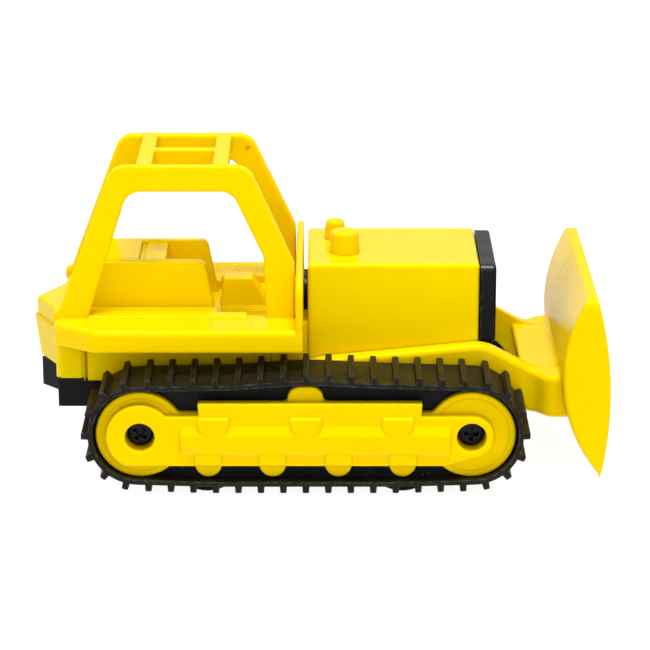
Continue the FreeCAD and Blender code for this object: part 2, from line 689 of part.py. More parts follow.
# ---------------------------------------------------------------- body shell
def body_shell():
    """Die-cast middle and rear of the body: sides, seat box, floor and pointed tail."""
    half = TUB_HALF_WIDTH
    solids = [
        rear_block(),
        box((SIDE_GROOVE_X - 0.5, HOOD_REAR_X - FIT), (-half, half), (DECK_Z, BODY_TOP_Z)),
        seat_box(),
        front_console(),
    ]
    solids += tail()
    shell = joined(solids)
    wall = 2.0
    hollow_x = (SIDE_GROOVE_X + 1.2, CAB_FRONT_X - wall)
    hollow = box(hollow_x, (-half + wall, half - wall), (DECK_Z - 1, BODY_TOP_Z - wall))
    shell = shell.cut(hollow)
    under_seat = box((CONSOLE_REAR_X + wall, -33.0), (-CONSOLE_HALF_WIDTH + wall, CONSOLE_HALF_WIDTH - wall),
                     (BODY_TOP_Z - wall - 1, CONSOLE_TOP_Z - wall))
    shell = shell.cut(under_seat)
    shell = joined([shell] + [screw_post(x, y, BODY_TOP_Z - wall + 0.2) for x, y in BODY_SCREW_PLACES])
    cuts = both_sides(side_grooves())
    for x, y in BODY_SCREW_PLACES:
        cuts.append(rod_z(x, y, SCREW_SHANK_RADIUS, (DECK_Z - 1, DECK_Z + 7.5)))
    for x, y in CAB_PEG_PLACES:
        cuts += both_sides(rod_z(x, y, CAB_PEG_RADIUS, (BODY_TOP_Z - 5, BODY_TOP_Z + 1)))
    tongue_slot = box((CAB_FRONT_X, HOOD_REAR_X), (-5.1, 5.1), (DECK_Z - 1, BODY_TOP_Z + 1))
    cuts += [floor_ribs(), tongue_slot]
    return shell.cut(cuts)


def rear_block():
    """Counterweight block behind the side grooves, with rounded upright corners."""
    half = TUB_HALF_WIDTH
    corners = [(REAR_FACE_X, -half, 1.6), (REAR_FACE_X, half, 1.6), (SIDE_GROOVE_X - 0.3, half, 1.0),
               (SIDE_GROOVE_X - 0.3, -half, 1.0)]
    return prism_z(corners, (REAR_DECK_Z, BODY_TOP_Z))


def side_grooves():
    """Upright grooves on the left side of the casting."""
    half = TUB_HALF_WIDTH
    groove_x = (SIDE_GROOVE_X - 0.3, SIDE_GROOVE_X + 0.3)
    wide = box(groove_x, (half - 1.2, half + 1), (DECK_Z - 1, BODY_TOP_Z + 1))
    fine = box((-9.7, -9.4), (half - 0.3, half + 1), (DECK_Z - 1, BODY_TOP_Z + 1))
    return wide.fuse(fine)


def tail():
    """Pointed tail in two steps; the lower step is a little proud and tapers downward."""
    step_z = 29.5
    top_z = 33.5
    upper = prism_z([(CONSOLE_REAR_X, -9.0, 0), (REAR_FACE_X, -9.0, 0.8), (REAR_POINT_X + 0.5, 0, 1.0),
                     (REAR_FACE_X, 9.0, 0.8), (CONSOLE_REAR_X, 9.0, 0)], (step_z - 0.5, top_z))
    at_top = lies_at("Z", top_z)
    upper = rounded_edges(upper, 0.7, lambda edge: at_top(edge) and edge.BoundBox.XMin < REAR_FACE_X)
    low_z = 20.9
    tip_radius = 0.9
    shoulder_x = REAR_FACE_X - 0.3
    half_angle = math.atan2(9.4, shoulder_x - REAR_POINT_X)
    sharp_x = REAR_POINT_X - tip_radius * (1 / math.sin(half_angle) - 1)
    top_wire = rounded_wire([(REAR_FACE_X + 2, -9.4, 0), (shoulder_x, -9.4, 0), (sharp_x, 0, tip_radius),
                             (shoulder_x, 9.4, 0), (REAR_FACE_X + 2, 9.4, 0)],
                            lambda a, b: Vector(a, b, step_z))
    low_corners = [
        (REAR_FACE_X + 2, -8.2, 0),
        (REAR_FACE_X, -8.2, 0),
        (REAR_POINT_X + 1.0, 0, tip_radius),
        (REAR_FACE_X, 8.2, 0),
        (REAR_FACE_X + 2, 8.2, 0),
    ]
    low_wire = rounded_wire(low_corners, lambda a, b: Vector(a, b, low_z))
    lower = Part.makeLoft([low_wire, top_wire], True, True)
    return [upper, lower]


def seat_box():
    """Seat box: two low side walls, the rear cover, the seat back and the seat."""
    half = CONSOLE_HALF_WIDTH
    inner = half - CONSOLE_WALL
    top = CONSOLE_TOP_Z
    base_z = BODY_TOP_Z - 1
    side_corners = [(CONSOLE_REAR_X, base_z, 0), (CONSOLE_REAR_X + 0.6, top, 1.2), (-23.1, top, 1.2),
                    (-20.6, base_z, 0)]
    outline = prism_y(side_corners, (-half, half))
    outline = rounded_edges(outline, 0.6, lambda edge: abs(abs(edge.CenterOfMass.y) - half) < 1e-3
                            and edge.BoundBox.ZMax > base_z + 0.1)
    seat_top = 37.0
    cavity_corners = [(-31.2, 60, 0), (-31.2, seat_top, 1.0), (-22.6, seat_top, 0), (-22.6, 60, 0)]
    cavity = prism_y(cavity_corners, (-inner, inner))
    front_of_seat = prism_y([(-23.6, 60, 0), (-23.6, BODY_TOP_Z, 0), (-15.0, BODY_TOP_Z, 0), (-15.0, 60, 0)],
                            (-inner, inner))
    slot = box((-36.6, -35.5), (-inner, inner), (top - 1.1, top + 1))
    lowered = box((-35.5, -31.2), (-inner, inner), (top - 0.5, top + 1))
    return outline.cut([cavity, front_of_seat, slot, lowered])


def front_console():
    """Wedge on the cab floor in front of the seat."""
    base_z = BODY_TOP_Z - 1
    corners = [(-20.3, base_z, 0), (-19.5, 38.0, 0.7), (-13.5, 38.0, 0.7), (-9.2, base_z, 0)]
    wedge = prism_y(corners, (-2.4, 2.4))
    return rounded_edges(wedge, 0.4, lambda edge: edge.BoundBox.ZMin > 37.0 and runs_along("X")(edge))


def floor_ribs():
    """Shallow grooves along the cab floor."""
    depth = 0.3
    grooves = []
    pitch = 1.1
    for index in range(5):
        for side in (-1, 1):
            y = side * (2.9 + index * pitch)
            grooves.append(box((-22.0, -5.0), (y - 0.25, y + 0.25), (BODY_TOP_Z - depth, BODY_TOP_Z + 0.2)))
    ribs = Part.makeCompound(grooves)
    return ribs.cut(box((-24.0, -20.0), (-CONSOLE_HALF_WIDTH - 1, CONSOLE_HALF_WIDTH + 1), (0, 60)))


# ---------------------------------------------------------------- cab frame
def cab_side():
    """Left side plate of the roll-over frame, leaning in towards the roof."""
    base = FENDER_TOP_Z - 0.6
    outer = [
        (FENDER_REAR_X - 0.2, base, 0),
        (FENDER_REAR_X - 0.3, 35.5, 1.1),
        (-52.2, 35.6, 0.4),
        (-41.1, ROOF_Z, 4.0),
        (-13.9, ROOF_Z, 4.0),
        (-4.6, 45.0, 2.0),
        (-4.6, base, 0),
    ]
    window = [
        (-47.3, base - 2, 0),
        (-38.1, 59.6, 3.6),
        (-17.2, 59.6, 3.6),
        (-10.9, 46.3, 4.0),
        (-10.2, base - 2, 0),
    ]
    plate = prism_y(outer, (SIDE_PLATE_BASE_Y - SIDE_PLATE, SIDE_PLATE_BASE_Y))
    plate = plate.cut(prism_y(window, (0, 30)))
    plate = rounded_edges(plate, 0.6, lambda edge: edge.BoundBox.YLength < 1e-3
                          and edge.BoundBox.ZMax > base + 0.1 and edge.CenterOfMass.x < -4.7)
    lean = math.degrees(math.atan2(SIDE_PLATE_BASE_Y - SIDE_PLATE_TOP_Y, ROOF_Z - base))
    plate.rotate(Vector(0, SIDE_PLATE_BASE_Y, base), Vector(1, 0, 0), lean)
    return plate


def fenders():
    """Deck and skirts of both fenders with the opening for the seat box."""
    half = FENDER_HALF_WIDTH
    rear_half = 18.8
    corner_x = -44.8
    outline = [
        (CAB_FRONT_X, -half, 0),
        (corner_x, -half, 2.5),
        (FENDER_REAR_X, -rear_half, 2.2),
        (FENDER_REAR_X, rear_half, 2.2),
        (corner_x, half, 2.5),
        (CAB_FRONT_X, half, 0),
    ]
    slab = prism_z(outline, (FENDER_BOTTOM_Z, FENDER_TOP_Z))
    at_top = lies_at("Z", FENDER_TOP_Z)
    at_front = lies_at("X", CAB_FRONT_X)
    slab = rounded_edges(slab, 1.2, lambda edge: at_top(edge) and not at_front(edge))
    at_bottom = lies_at("Z", FENDER_BOTTOM_Z)
    slab = rounded_edges(slab, 0.4, lambda edge: at_bottom(edge) and not at_front(edge))
    wall = FENDER_WALL
    shrink = wall * 0.6
    inside = [
        (CAB_FRONT_X - CAB_WALL, -half + wall, 0),
        (corner_x + shrink, -half + wall, 1.5),
        (FENDER_REAR_X + wall, -rear_half + shrink, 0.8),
        (FENDER_REAR_X + wall, rear_half - shrink, 0.8),
        (corner_x + shrink, half - wall, 1.5),
        (CAB_FRONT_X - CAB_WALL, half - wall, 0),
    ]
    slab = slab.cut(prism_z(inside, (FENDER_BOTTOM_Z - 1, FENDER_TOP_Z - wall)))
    body_slot = box((-70, 10), (-TUB_HALF_WIDTH - FIT, TUB_HALF_WIDTH + FIT), (0, BODY_TOP_Z))
    tail_slot = box((-70, CONSOLE_REAR_X), (-9.2, 9.2), (0, 60))
    seat_slot = box((CONSOLE_REAR_X - 0.4, CAB_FRONT_X - CAB_WALL), (-9.2, 9.2), (0, 60))
    foot_slot = box((LEDGE_STEP_X, LEDGE_FRONT_X + 0.1), (-LEDGE_FRONT_Y, LEDGE_FRONT_Y), (0, 60))
    front_slot = box((LEDGE_FRONT_X, -10.4), (-TUB_HALF_WIDTH, TUB_HALF_WIDTH), (0, 60))
    return slab.cut([body_slot, tail_slot, seat_slot, foot_slot, front_slot])


def ledge():
    """Low raised strip along the inside of the left fender, stepped beside the seat."""
    top = FENDER_TOP_Z + 0.4
    outside = SIDE_PLATE_BASE_Y - 0.2
    plan = [
        (CONSOLE_REAR_X, 9.2, 0),
        (CONSOLE_REAR_X, outside, 0),
        (LEDGE_FRONT_X, outside, 0),
        (LEDGE_FRONT_X, LEDGE_FRONT_Y, 0),
        (LEDGE_STEP_X, LEDGE_FRONT_Y, 0),
        (LEDGE_STEP_X, 9.2, 0),
    ]
    strip = prism_z(plan, (FENDER_TOP_Z - 0.5, top))
    return rounded_edges(strip, 0.3, lies_at("Z", top))


def cab_wall():
    """Full-width front wall with a rounded top edge."""
    half = FENDER_HALF_WIDTH
    corners = [(-half, FENDER_BOTTOM_Z, 0.6), (-half, CAB_WALL_TOP_Z, 3.0), (half, CAB_WALL_TOP_Z, 3.0),
               (half, FENDER_BOTTOM_Z, 0.6)]
    wall = prism_x(corners, (CAB_FRONT_X - CAB_WALL, CAB_FRONT_X))
    wall = rounded_edges(wall, 0.65, lambda edge: edge.BoundBox.XLength < 1e-3 and edge.BoundBox.ZMax > 35)
    return wall.cut(box((-70, 10), (-TUB_HALF_WIDTH - FIT, TUB_HALF_WIDTH + FIT), (0, BODY_TOP_Z)))


def roof_bars():
    """Two cross bars and the middle bar between them."""
    reach = SIDE_PLATE_TOP_Y - 0.6
    z = (ROOF_Z - ROOF_BAR_DEPTH, ROOF_Z - 0.05)
    half = ROOF_BAR_WIDTH / 2
    bars = [box((x - half, x + half), (-reach, reach), z) for x in ROOF_BAR_X]
    bars.append(box(ROOF_BAR_X, (-1.1, 1.1), z))
    grid = joined(bars)
    at_top = lies_at("Z", z[1])
    return rounded_edges(grid, 0.4, lambda edge: at_top(edge) and abs(edge.CenterOfMass.y) < reach - 0.1)


def cab_frame():
    """Roll-over frame, fenders and front wall in one moulding."""
    pegs = []
    for x, y in CAB_PEG_PLACES:
        pegs += both_sides(rod_z(x, y, CAB_PEG_RADIUS, (BODY_TOP_Z - 4, BODY_TOP_Z + 0.5)))
    return joined([fenders(), cab_wall(), roof_bars()] + both_sides(cab_side()) + both_sides(ledge()) + pegs)


# ---------------------------------------------------------------- push frame and blade
def blade_back_cylinder(radius, half_width):
    """Cylinder about the blade's axis of curvature, which lies ahead of the blade."""
    return rod_y(BLADE_BACK_X + BLADE_BACK_RADIUS, BLADE_MIDDLE_Z, radius, (-half_width, half_width))


def push_arm():
    """Left arm: pivot end, long upper edge and the wide deep end in front of the track."""
    outline = [
        (PIVOT_X - 4.2, PIVOT_Z - 4.0, 4.0),
        (PIVOT_X - 4.2, 22.6, 4.5),
        (1.0, 25.1, 8.0),
        (13.1, 26.3, 60.0),
        (33.8, 28.4, 8.0),
        (44.5, ARM_TOP_Z, 9.0),
        (BLADE_BACK_X + 0.05, ARM_TOP_Z, 1.2),
        (BLADE_BACK_X + 0.05, ARM_TOP_Z + 2.5, 0),
        (BLADE_BACK_X + 2.0, ARM_TOP_Z + 2.5, 0),
        (BLADE_BACK_X + 2.0, 13.8, 0),
        (42.5, 13.8, 2.5),
        (37.5, 19.8, 5.0),
        (8.0, 18.6, 12.0),
        (-0.5, PIVOT_Z - 4.0, 5.0),
    ]
    arm = prism_y(outline, (ARM_Y[0], 30.0))
    plan = [
        (-20.0, ARM_Y[0], 0),
        (-20.0, ARM_Y[1], 0),
        (43.6, ARM_Y[1], 3.0),
        (46.6, ARM_OUTSIDE_Y, 3.0),
        (60.0, ARM_OUTSIDE_Y, 0),
        (60.0, ARM_Y[0], 0),
    ]
    arm = arm.common(prism_z(plan, (0, 40)))

    def outer_rim(edge):
        if edge.CenterOfMass.y < ARM_Y[1] - 1e-4 or edge.CenterOfMass.x > BLADE_BACK_X + 1.0:
            return False
        return not (edge.BoundBox.ZLength > 3 and edge.BoundBox.XLength < 1e-3)
    return rounded_edges(arm, ARM_EDGE_RADIUS, outer_rim)


def cross_plate():
    """Plate between the arms that runs into the back of the blade, with a web below it."""
    reach = ARM_Y[0] + 0.5
    corners = [
        (41.4, 20.0, 0.8),
        (41.4, 22.6, 0.8),
        (BLADE_BACK_X + 0.05, 22.6, 2.2),
        (BLADE_BACK_X + 0.05, 26.0, 0),
        (BLADE_BACK_X + 2.0, 26.0, 0),
        (BLADE_BACK_X + 2.0, 15.5, 0),
        (47.0, 15.5, 0.8),
        (47.0, 20.0, 1.0),
    ]
    return prism_y(corners, (-reach, reach))


def curved_blade():
    """Curved plate with a lens-shaped plate at each end."""
    low, high = BLADE_Z
    centre_x = BLADE_BACK_X + BLADE_BACK_RADIUS

    def back_at(z):
        return centre_x - math.sqrt(BLADE_BACK_RADIUS ** 2 - (z - BLADE_MIDDLE_Z) ** 2)

    half = BLADE_HALF_WIDTH
    top_back = Vector(back_at(high), -half, high)
    bottom_back = Vector(back_at(low + 0.9), -half, low + 0.9)
    middle_back = Vector(BLADE_BACK_X, -half, BLADE_MIDDLE_Z)
    top_front = Vector(top_back.x + 2.0, -half, high)
    tip_low = Vector(56.9, -half, low)
    tip_front = Vector(57.5, -half, low + 1.6)
    edges = [
        Part.Arc(bottom_back, middle_back, top_back).toShape(),
        Part.LineSegment(top_back, top_front).toShape(),
        Part.Arc(top_front, Vector(BLADE_FRONT_X, -half, BLADE_FRONT_Z), tip_front).toShape(),
        Part.LineSegment(tip_front, tip_low).toShape(),
        Part.LineSegment(tip_low, bottom_back).toShape(),
    ]
    lens = Part.Face(Part.Wire(edges)).extrude(Vector(0, 2 * half, 0))
    at_side = lambda edge: abs(abs(edge.CenterOfMass.y) - half) < 1e-3 and edge.Length > 10
    lens = rounded_edges(lens, BLADE_EDGE_RADIUS, at_side)
    outline = prism_x([(-half - 1, low - 1, 0), (-half - 1, high + 1, 0), (half + 1, high + 1, 0),
                       (half + 1, low - 1, 0)], (40, 70))
    rounded = prism_x([(-half, low, 0.8), (-half, high, 2.3), (half, high, 2.3), (half, low, 0.8)], (39, 71))
    lens = lens.cut(outline.cut(rounded))
    inner_half = half - BLADE_END_PLATE
    bowl = blade_back_cylinder(BLADE_BACK_RADIUS - BLADE_PLATE, inner_half)
    ahead = box((back_at(high), 70.0), (-inner_half, inner_half), (0, 60))
    lens = lens.cut(bowl.common(box((40, 70), (-inner_half, inner_half), (0, 60))))
    return lens.cut(ahead.cut(blade_back_cylinder(BLADE_BACK_RADIUS, 40.0)))


def blade_with_push_arms():
    """Blade, both arms, the cross plate and the pivot stubs in one moulding."""
    stubs = both_sides(rod_y(PIVOT_X, PIVOT_Z, PIVOT_RADIUS, (PIVOT_END_Y, ARM_Y[0] + 0.5)))
    frame = joined(both_sides(push_arm()) + [cross_plate()] + stubs)
    frame = frame.cut(blade_back_cylinder(BLADE_BACK_RADIUS - 1.0, 30.0))
    return joined([frame, curved_blade()])


# ---------------------------------------------------------------- write every piece
def main():
    os.makedirs("parts", exist_ok=True)
    pieces = {
        "chassis_base": chassis_base(),
        "belly_plate": belly_plate(),
        "body_shell": body_shell(),
        "hood": hood(),
        "air_precleaner_cap": cap(PRECLEANER_PLACE, 3.1, 4.6, 1.7),
        "exhaust_cap": cap(EXHAUST_PLACE, 2.2, 4.0, 1.1),
        "radiator_grille": radiator_grille(),
        "cab_frame": cab_frame(),
        "front_axle": axle(WHEEL_X[1]),
        "rear_axle": axle(WHEEL_X[0]),
        "blade_with_push_arms": blade_with_push_arms(),
        "belly_screws": upward_screws([(x, 0.0) for x in BELLY_SCREW_X], BELLY_BOTTOM_Z + 1.5, 9.0),
        "body_screws": upward_screws(BODY_SCREW_PLACES + HOOD_SCREW_PLACES, DECK_Z - TUB_WALL, 8.0),
    }
    sided = {
        "track_frame": track_frame(),
        "rubber_track": rubber_track(),
        "track_frame_screws": side_screws(),
        "rear_wheel": road_wheel(WHEEL_X[0]),
        "front_wheel": road_wheel(WHEEL_X[1]),
    }
    for node, shape in sided.items():
        pieces[node + "_left"] = shape
        pieces[node + "_right"] = mirrored(shape)
    for node, shape in pieces.items():
        write(node, shape)


main()
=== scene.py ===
"""Looks of the toy bulldozer: materials, moulded details, studio and camera.

Metres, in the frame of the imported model: +X forward, +Y to the machine's left, +Z up.
"""
import json
import math

import bmesh
import bpy
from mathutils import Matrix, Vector


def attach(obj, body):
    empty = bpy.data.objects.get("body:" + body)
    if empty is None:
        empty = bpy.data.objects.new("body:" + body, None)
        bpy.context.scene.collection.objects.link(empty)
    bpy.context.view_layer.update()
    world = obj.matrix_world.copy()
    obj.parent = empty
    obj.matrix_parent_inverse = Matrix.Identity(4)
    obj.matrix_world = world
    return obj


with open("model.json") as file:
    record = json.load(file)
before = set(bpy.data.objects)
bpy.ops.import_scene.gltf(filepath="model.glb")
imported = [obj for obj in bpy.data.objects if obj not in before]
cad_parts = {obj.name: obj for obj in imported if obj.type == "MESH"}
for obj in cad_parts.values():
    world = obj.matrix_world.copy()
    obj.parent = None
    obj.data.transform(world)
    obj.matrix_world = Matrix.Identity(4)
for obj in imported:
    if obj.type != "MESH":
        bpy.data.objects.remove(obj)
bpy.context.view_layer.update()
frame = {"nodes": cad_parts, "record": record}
NODES = frame["nodes"]
MM = 0.001
FENDER_TOP = 33.6           # mm, upper face of both fenders
ENAMEL_GLOSS = 0.34
PLASTIC_GLOSS = 0.22
YELLOW_SHEEN = (1.0, 0.9, 0.0)      # tint of the highlights on yellow
WORLD_LIGHT = 0.52
FLOOR_GLOW = 0.93           # keeps the floor white, with no shadow


# ---------------------------------------------------------------- material building blocks
class Shader:
    """A node material with a Principled BSDF, built through short calls."""

    def __init__(self, name):
        self.material = bpy.data.materials.new(name)
        self.material.use_nodes = True
        self.tree = self.material.node_tree
        self.tree.nodes.clear()
        self.output = self.tree.nodes.new("ShaderNodeOutputMaterial")
        self.bsdf = self.tree.nodes.new("ShaderNodeBsdfPrincipled")
        self.tree.links.new(self.bsdf.outputs[0], self.output.inputs[0])
        self.place = self.tree.nodes.new("ShaderNodeTexCoord").outputs["Object"]

    def put(self, socket, value):
        """Gives a socket a constant or links another socket to it."""
        if isinstance(value, bpy.types.NodeSocket):
            self.tree.links.new(value, socket)
        elif socket.type == "RGBA" and len(value) == 3:
            socket.default_value = (*value, 1.0)
        else:
            socket.default_value = value

    def noise(self, size_mm, detail=2.0, roughness=0.5, stretch=(1, 1, 1)):
        """Noise about size_mm across, drawn out by the stretch factors."""
        mapping = self.tree.nodes.new("ShaderNodeMapping")
        self.put(mapping.inputs["Vector"], self.place)
        mapping.inputs["Scale"].default_value = [1 / s for s in stretch]
        node = self.tree.nodes.new("ShaderNodeTexNoise")
        self.put(node.inputs["Vector"], mapping.outputs[0])
        node.inputs["Scale"].default_value = 1 / (size_mm * MM)
        node.inputs["Detail"].default_value = detail
        node.inputs["Roughness"].default_value = roughness
        return node.outputs["Fac"]

    def cells(self, size_mm, randomness=1.0):
        """Distance to the nearest of scattered points about size_mm apart."""
        node = self.tree.nodes.new("ShaderNodeTexVoronoi")
        self.put(node.inputs["Vector"], self.place)
        node.inputs["Scale"].default_value = 1 / (size_mm * MM)
        node.inputs["Randomness"].default_value = randomness
        return node.outputs["Distance"]

    def span(self, value, low, high, new_low=0.0, new_high=1.0):
        """Maps low..high onto new_low..new_high, clamped."""
        node = self.tree.nodes.new("ShaderNodeMapRange")
        self.put(node.inputs["Value"], value)
        for name, number in (("From Min", low), ("From Max", high),
                             ("To Min", new_low), ("To Max", new_high)):
            self.put(node.inputs[name], number)
        return node.outputs["Result"]

    def math(self, operation, first, second=0.0):
        node = self.tree.nodes.new("ShaderNodeMath")
        node.operation = operation
        self.put(node.inputs[0], first)
        self.put(node.inputs[1], second)
        return node.outputs[0]

    def mix(self, amount, first, second):
        """Colour mix."""
        node = self.tree.nodes.new("ShaderNodeMix")
        node.data_type = "RGBA"
        self.put(node.inputs["Factor"], amount)
        colours = [s for s in node.inputs if s.type == "RGBA"]
        self.put(colours[0], first)
        self.put(colours[1], second)
        return [s for s in node.outputs if s.type == "RGBA"][0]

    def facing_up(self):
        """1 on faces that look up, 0 on walls and undersides."""
        geometry = self.tree.nodes.new("ShaderNodeNewGeometry")
        split = self.tree.nodes.new("ShaderNodeSeparateXYZ")
        self.put(split.inputs[0], geometry.outputs["Normal"])
        return self.span(split.outputs["Z"], 0.3, 0.9)

    def corners(self, reach_mm, inside):
        """Near 1 on outer edges (inside=True) or in creases (inside=False), 0 on open faces."""
        node = self.tree.nodes.new("ShaderNodeAmbientOcclusion")
        node.samples = 6
        node.inside = inside
        node.only_local = True
        node.inputs["Distance"].default_value = reach_mm * MM
        low, high = (0.55, 0.95) if inside else (0.35, 0.85)
        return self.math("SUBTRACT", 1.0, self.span(node.outputs["AO"], low, high))

    def soft_edges(self, radius_mm):
        """Normal that runs smoothly over the small edge radii of a moulding."""
        node = self.tree.nodes.new("ShaderNodeBevel")
        node.samples = 6
        node.inputs["Radius"].default_value = radius_mm * MM
        return node.outputs["Normal"]

    def satin(self, level, start, end, last):
        """Gloss level that fades at grazing angles, as a finely grained surface's does."""
        node = self.tree.nodes.new("ShaderNodeLayerWeight")
        node.inputs["Blend"].default_value = 0.5
        return self.span(node.outputs["Facing"], start, end, level, last)

    def bump(self, height, depth_mm, strength=1.0, base=None):
        node = self.tree.nodes.new("ShaderNodeBump")
        self.put(node.inputs["Height"], height)
        node.inputs["Distance"].default_value = depth_mm * MM
        node.inputs["Strength"].default_value = strength
        if base is not None:
            self.put(node.inputs["Normal"], base)
        return node.outputs["Normal"]

    def set(self, **inputs):
        """Principled inputs by name, with underscores for spaces."""
        for name, value in inputs.items():
            self.put(self.bsdf.inputs[name.replace("_", " ")], value)
        return self.material


def moulded_plastic(name, colour, shade):
    """Satin moulded plastic: faint flow marks, a fine grain and paler outer edges, partly rubbed
    wear and partly a painted edge highlight.
    """
    s = Shader(name)
    clouds = s.noise(14, detail=3)
    flow = s.noise(1.6, detail=3, stretch=(1, 1, 5))
    tone = s.mix(s.span(clouds, 0.3, 0.7), colour, shade)
    tone = s.mix(s.math("MULTIPLY", s.span(flow, 0.45, 0.75), 0.10), tone, shade)
    # Outer edges painted paler: partly rubbed wear, partly a painted highlight along the edges.
    pale = [min(1.0, c * 1.1 + 0.02) for c in colour]
    edge_wear_and_highlight = s.math("MULTIPLY", s.corners(0.5, True), s.span(s.noise(2.5, detail=4), 0.42, 0.7))
    tone = s.mix(s.math("MULTIPLY", edge_wear_and_highlight, 0.4), tone, pale)
    grain = s.noise(0.22, detail=2)
    rough = s.span(s.math("ADD", s.math("MULTIPLY", clouds, 0.6), s.math("MULTIPLY", flow, 0.4)),
                   0.3, 0.7, 0.20, 0.30)
    rough = s.math("ADD", rough, s.math("MULTIPLY", edge_wear_and_highlight, 0.15))
    normal = s.bump(flow, 0.02, 0.35, s.bump(grain, 0.006, 0.5, s.soft_edges(0.55)))
    level = s.satin(PLASTIC_GLOSS, 0.55, 0.9, 0.02)
    return s.set(Base_Color=tone, Roughness=rough, Normal=normal, Specular_IOR_Level=level,
                 Specular_Tint=YELLOW_SHEEN, Subsurface_Weight=0.3, Subsurface_Scale=0.0015,
                 Subsurface_Radius=(1.0, 0.75, 0.05))


def gloss_paint(name, colour, shade, metal):
    """Gloss enamel over die-cast metal: orange peel, clear highlights, chipped edges and painted
    shade in the creases.
    """
    s = Shader(name)
    clouds = s.noise(9, detail=3)
    tone = s.mix(s.span(clouds, 0.3, 0.7), colour, shade)
    # Creases and hollows painted darker: painted shade.
    crease_shade = s.corners(1.2, False)
    tone = s.mix(s.math("MULTIPLY", crease_shade, 0.22), tone, [c * 0.62 for c in shade])
    patch = s.span(s.noise(1.1, detail=6, roughness=0.7), 0.64, 0.68)
    chips = s.math("MULTIPLY", s.span(s.corners(0.35, True), 0.55, 0.8), patch)
    tone = s.mix(chips, tone, metal)
    specks = s.span(s.cells(1.9), 0.035, 0.055, 1.0, 0.0)
    specks = s.math("MULTIPLY", specks, s.span(s.noise(7), 0.52, 0.6))
    tone = s.mix(s.math("MULTIPLY", specks, 0.5), tone, (0.25, 0.17, 0.03))
    peel = s.noise(0.9, detail=2)
    normal = s.bump(peel, 0.012, 0.30, s.bump(chips, 0.04, 0.6, s.soft_edges(0.4)))
    rough = s.math("ADD", s.span(clouds, 0.3, 0.7, 0.12, 0.18), s.math("MULTIPLY", chips, 0.3))
    walls = s.satin(ENAMEL_GLOSS, 0.50, 0.72, 0.0)
    level = s.math("MAXIMUM", walls, s.math("MULTIPLY", s.facing_up(), ENAMEL_GLOSS))
    return s.set(Base_Color=tone, Roughness=rough, Normal=normal, Specular_IOR_Level=level,
                 Specular_Tint=YELLOW_SHEEN)


def black_moulding(name, colour, edge_wear_and_highlight_amount, rough_low, rough_high, grain_mm, dust,
                   gloss=0.10, top_gloss=0.10):
    """Black plastic or rubber: grain, grey outer edges (partly rubbed wear, partly a painted edge
    highlight), settled dust and pale specks.
    """
    s = Shader(name)
    clouds = s.noise(6, detail=4)
    tone = s.mix(s.span(clouds, 0.35, 0.7), colour, [c * 1.5 for c in colour])
    # Outer edges painted grey: partly rubbed wear, partly a painted highlight along the edges.
    edge_wear_and_highlight = s.math("MULTIPLY", s.corners(0.45, True), s.span(s.noise(1.3, detail=5), 0.4, 0.65))
    tone = s.mix(s.math("MULTIPLY", edge_wear_and_highlight, edge_wear_and_highlight_amount), tone, (0.10, 0.10, 0.105))
    film = s.math("MULTIPLY", s.facing_up(),
                  s.span(s.noise(3.5, detail=6, roughness=0.65), 0.45, 0.8))
    tone = s.mix(s.math("MULTIPLY", film, dust), tone, (0.30, 0.28, 0.24))
    specks = s.span(s.cells(1.5), 0.05, 0.075, 1.0, 0.0)
    specks = s.math("MULTIPLY", specks, s.span(s.noise(4), 0.5, 0.56))
    tone = s.mix(s.math("MULTIPLY", specks, min(1.0, dust * 9)), tone, (0.5, 0.47, 0.4))
    grain = s.noise(grain_mm, detail=3)
    normal = s.bump(grain, 0.02, 0.45, s.bump(specks, 0.03, 0.5, s.soft_edges(0.22)))
    rough = s.span(clouds, 0.3, 0.7, rough_low, rough_high)
    rough = s.math("ADD", rough, s.math("MULTIPLY", film, 0.2))
    level = s.span(s.facing_up(), 0.0, 1.0, gloss, top_gloss)
    return s.set(Base_Color=tone, Roughness=rough, Normal=normal, Specular_IOR_Level=level)


def oxide_steel(name, colour, bright, rough):
    """Screw and axle steel: turned marks, brighter edges that are partly rubbed steel and partly a
    painted glint.
    """
    s = Shader(name)
    marks = s.noise(0.35, detail=4, stretch=(1, 6, 1))
    tone = s.mix(s.span(marks, 0.3, 0.7), colour, [c * 1.6 for c in colour])
    # Edges painted brighter: partly rubbed steel, partly a painted glint along the edges.
    edge_wear_and_highlight = s.math("MULTIPLY", s.corners(0.25, True), s.span(s.noise(0.5, detail=3), 0.35, 0.6))
    tone = s.mix(s.math("MULTIPLY", edge_wear_and_highlight, 0.6), tone, bright)
    normal = s.bump(marks, 0.01, 0.4)
    return s.set(Base_Color=tone, Roughness=s.span(marks, 0.3, 0.7, rough, rough + 0.14),
                 Normal=normal, Metallic=0.85)


# ---------------------------------------------------------------- materials of the nodes
MATERIALS = {
    "yellow_plastic": moulded_plastic("yellow_plastic_look", (0.84, 0.585, 0.0),
                                      (0.815, 0.56, 0.0)),
    "yellow_paint": gloss_paint("yellow_paint_look", (0.84, 0.605, 0.0), (0.81, 0.575, 0.0),
                                (0.12, 0.10, 0.07)),
    "black_plastic": black_moulding("black_plastic_look", (0.006, 0.006, 0.0065), 0.4, 0.28, 0.38,
                                    0.25, 0.05, gloss=0.07, top_gloss=0.5),
    "wheel_plastic": black_moulding("wheel_plastic_look", (0.004, 0.004, 0.0045), 0.3, 0.42, 0.55,
                                    0.3, 0.04, gloss=0.05),
    "track_rubber": black_moulding("track_rubber_look", (0.0085, 0.0072, 0.003), 0.5, 0.32, 0.46,
                                   0.18, 0.03),
    "black_screw": oxide_steel("black_screw_look", (0.006, 0.006, 0.0065), (0.05, 0.05, 0.05),
                               0.34),
    "steel": oxide_steel("steel_look", (0.42, 0.42, 0.43), (0.7, 0.7, 0.7), 0.22),
}

